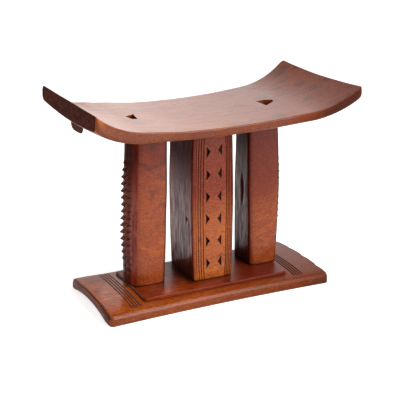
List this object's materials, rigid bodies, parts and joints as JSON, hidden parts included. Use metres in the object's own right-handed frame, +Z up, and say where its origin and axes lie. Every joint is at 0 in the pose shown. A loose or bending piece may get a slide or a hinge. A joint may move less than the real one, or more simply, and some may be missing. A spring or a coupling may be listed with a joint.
{
  "type": "carved stool",
  "caption": "Carved wooden stool with a curved saddle seat on barrel-shaped columns with carved teeth and notches, standing on a plinth and an arched base.",
  "frame": {"origin": "on the floor under the middle of the seat's length and width", "axes": "+X along the seat towards the end that is right in the picture, +Y from the front to the back, +Z up"},
  "size_m": [0.5707, 0.3154, 0.435],
  "materials": {
    "seat_wood": "waxed, red-brown, with a broad sheen",
    "lug_wood": "stained dark brown, satin",
    "column_wood": "stained red-brown, mottled, satin",
    "centre_wood": "stained red-brown, darker on the sides, satin",
    "plinth_wood": "stained red-brown, waxed",
    "base_wood": "stained red-brown, waxed to a gloss"
  },
  "bodies": {
    "root": {"seat": "seat_wood", "left_grip_lug": "lug_wood", "right_grip_lug": "lug_wood", "left_column": "column_wood", "centre_column": "centre_wood", "right_column": "column_wood", "plinth": "plinth_wood", "base": "base_wood"}
  },
  "joints": []
}
